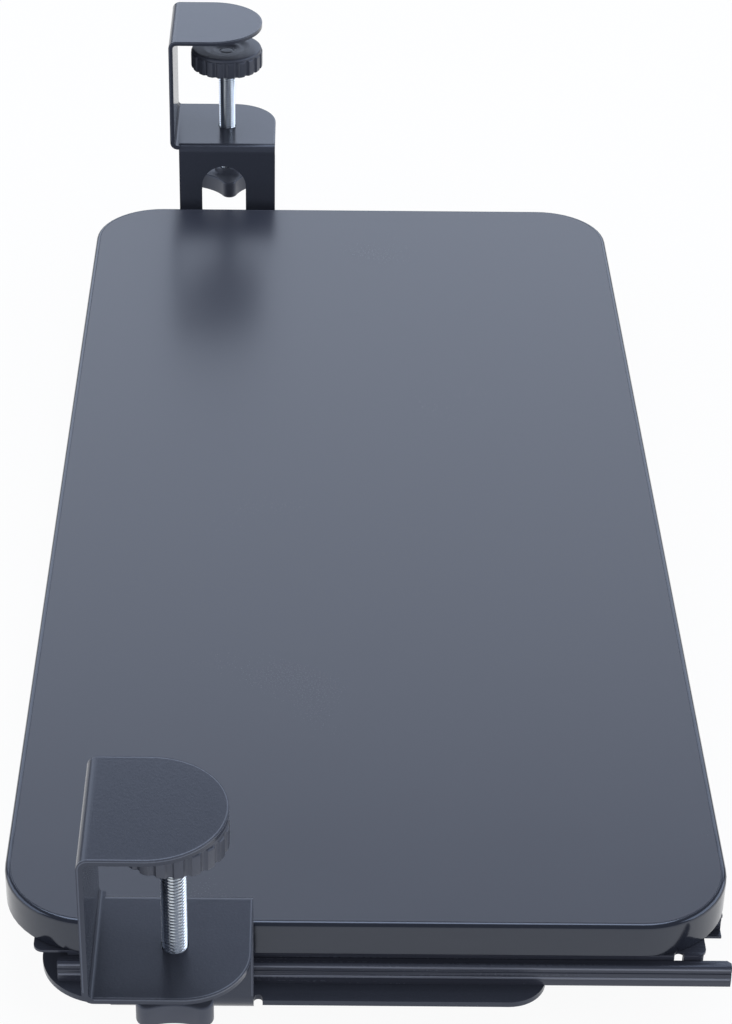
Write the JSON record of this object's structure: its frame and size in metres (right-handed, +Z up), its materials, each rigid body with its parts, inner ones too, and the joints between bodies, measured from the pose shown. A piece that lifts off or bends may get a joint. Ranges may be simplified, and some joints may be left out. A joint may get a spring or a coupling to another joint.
{
  "type": "clamp-on keyboard tray",
  "caption": "Keyboard tray for the underside of a desk: a rounded laminate board on ball slides, hung from bent-steel screw clamps with fluted pads and star knobs.",
  "frame": {"origin": "centre of the board's top face, in the pictured pose", "axes": "+X along the board to the user's right, +Y away from the user towards the desk, +Z up"},
  "size_m": [0.8, 0.3, 0.1323],
  "materials": {
    "fibreboard": "raw fibreboard",
    "laminate": "satin",
    "edge_band": "gloss",
    "bracket_coat": "powder coat",
    "rail_coat": "gloss black",
    "zinc_steel": "zinc plated",
    "moulded_black": "moulded",
    "cage_steel": "zinc plated",
    "ball_steel": "polished"
  },
  "bodies": {
    "desk_clamps": {"right_clamp_bracket": "bracket_coat", "left_clamp_bracket": "bracket_coat", "right_weld_nut": "zinc_steel", "left_weld_nut": "zinc_steel", "right_fixed_rail": "rail_coat", "left_fixed_rail": "rail_coat", "right_plate_screws": "zinc_steel", "left_plate_screws": "zinc_steel"},
    "tray": {"board_core": "fibreboard", "top_laminate": "laminate", "bottom_laminate": "laminate", "edge_band": "edge_band", "right_moving_rail": "rail_coat", "left_moving_rail": "rail_coat", "right_board_screws": "zinc_steel", "left_board_screws": "zinc_steel"},
    "ball_carriage": {"right_ball_cage": "cage_steel", "left_ball_cage": "cage_steel", "right_bearing_balls": "ball_steel", "left_bearing_balls": "ball_steel"},
    "right_pad": {"right_pressure_pad": "moulded_black"},
    "right_screw": {"right_clamp_screw": "zinc_steel", "right_star_knob": "moulded_black"},
    "left_pad": {"left_pressure_pad": "moulded_black"},
    "left_screw": {"left_clamp_screw": "zinc_steel", "left_star_knob": "moulded_black"}
  },
  "joints": [
    {"name": "tray_slide", "type": "slide", "parent": "desk_clamps", "child": "tray", "axis": [0, -1, 0], "range_m": [-0.01, 0.175]},
    {"name": "ball_carriage_roll", "type": "slide", "parent": "desk_clamps", "child": "ball_carriage", "axis": [0, -1, 0], "range_m": [-0.005, 0.0875]},
    {"name": "right_pad_lift", "type": "slide", "parent": "desk_clamps", "child": "right_pad", "axis": [0, 0, 1], "range_m": [-0.0497, 0.002]},
    {"name": "right_screw_turn", "type": "hinge", "parent": "right_pad", "child": "right_screw", "pos_m": [0.3695, -0.075, 0.03], "axis": [0, 0, 1], "range_deg": [-11929, 481]},
    {"name": "left_pad_lift", "type": "slide", "parent": "desk_clamps", "child": "left_pad", "axis": [0, 0, 1], "range_m": [-0.0386, 0.013]},
    {"name": "left_screw_turn", "type": "hinge", "parent": "left_pad", "child": "left_screw", "pos_m": [-0.3695, -0.075, 0.03], "axis": [0, 0, 1], "range_deg": [-9265, 3121]}
  ],
  "couplings": [
    {"joint": "ball_carriage_roll", "follows": "tray_slide", "ratio": 0.5},
    {"joint": "right_screw_turn", "follows": "right_pad_lift", "rad_per_m": 4188.8},
    {"joint": "left_screw_turn", "follows": "left_pad_lift", "rad_per_m": 4188.8}
  ]
}
